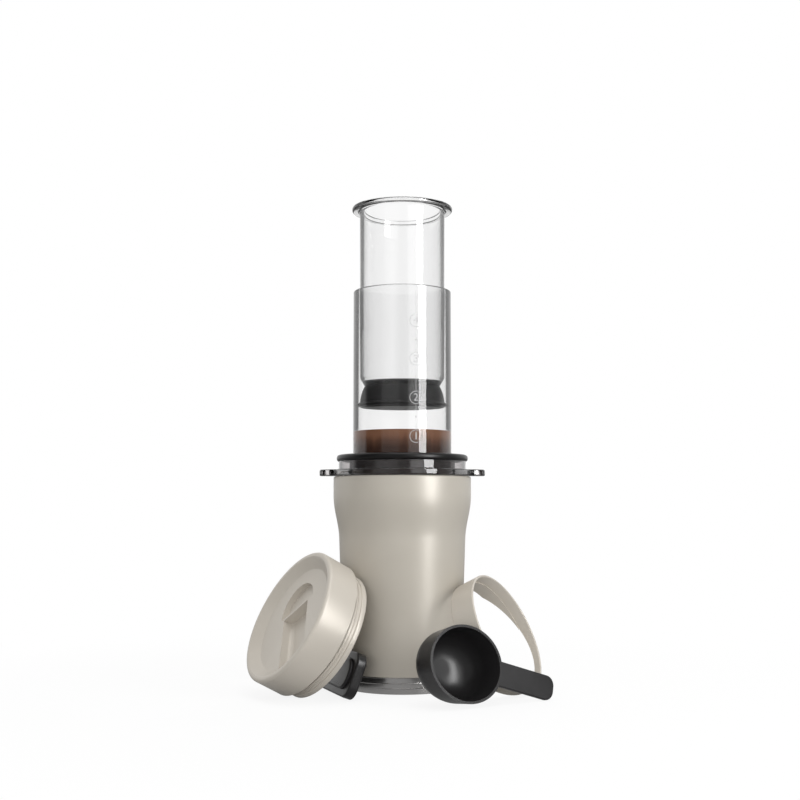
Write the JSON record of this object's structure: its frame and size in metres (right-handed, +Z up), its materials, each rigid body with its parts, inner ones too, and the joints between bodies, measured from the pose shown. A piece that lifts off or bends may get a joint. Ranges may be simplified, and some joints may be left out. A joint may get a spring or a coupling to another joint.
{
  "type": "travel coffee press",
  "caption": "Travel coffee press kit: clear press with plunger and eared collar on an insulated tumbler, with its lid, open base ring, measuring scoop and filter case leaning round it.",
  "frame": {"origin": "centre of the tumbler's foot, on the surface that the kit stands on", "axes": "+Z up along the tumbler's and the press's common axis; the viewer of the picture stands on the -Y side and +X is to their right; the collar's ears point along X"},
  "size_m": [0.1917, 0.1512, 0.3204],
  "materials": {
    "powder_coat": "satin pearl",
    "bare_steel": "brushed",
    "clear_plastic": "clear, glossy",
    "smoke_plastic": "smoke grey, translucent",
    "black_rubber": "matt",
    "black_plastic": "satin",
    "filter_paper": "matt",
    "beige_plastic": "satin",
    "clear_silicone": "soft"
  },
  "bodies": {
    "tumbler": {"tumbler_shell": "powder_coat", "tumbler_liner": "bare_steel", "tumbler_base": "bare_steel", "base_disc": "bare_steel", "vacuum_cap": "bare_steel"},
    "press": {"chamber_tube": "clear_plastic", "chamber_collar": "smoke_plastic", "collar_gasket": "black_rubber"},
    "cap": {"filter_cap": "black_plastic", "paper_filter": "filter_paper"},
    "plunger": {"plunger_tube": "clear_plastic", "plunger_seal": "black_rubber"},
    "lid": {"lid_cap": "beige_plastic", "lid_plug": "beige_plastic", "lid_seal": "clear_silicone", "lid_disc": "beige_plastic"},
    "ring": {"base_ring": "beige_plastic"},
    "scoop": {"scoop": "black_plastic"},
    "case": {"case_body": "black_plastic", "filter_stack": "filter_paper"},
    "cover": {"case_cover": "black_plastic"}
  },
  "joints": [
    {"name": "press_lift", "type": "slide", "parent": "tumbler", "child": "press", "axis": [0, 0, 1], "range_m": [0, 0.15]},
    {"name": "cap_twist", "type": "hinge", "parent": "press", "child": "cap", "pos_m": [0, 0, 0.134], "axis": [0, 0, 1], "range_deg": [-30, 0]},
    {"name": "plunger_slide", "type": "slide", "parent": "press", "child": "plunger", "axis": [0, 0, 1], "range_m": [-0.052, 0.07]},
    {"name": "lid_lift", "type": "slide", "parent": "tumbler", "child": "lid", "axis": [-0.6, -0.4, 0.6928], "range_m": [0, 0.12]},
    {"name": "ring_lift", "type": "slide", "parent": "tumbler", "child": "ring", "axis": [0.6, 0.1, 0.7937], "range_m": [0, 0.12]},
    {"name": "scoop_lift", "type": "slide", "parent": "tumbler", "child": "scoop", "axis": [0, -0.5, 0.866], "range_m": [0, 0.12]},
    {"name": "case_slide", "type": "slide", "parent": "tumbler", "child": "case", "axis": [0.3354, -0.9368, 0.0995], "range_m": [0, 0.1]},
    {"name": "cover_open", "type": "slide", "parent": "case", "child": "cover", "axis": [-0.8847, -0.3168, 0.342], "range_m": [0, 0.006]}
  ]
}
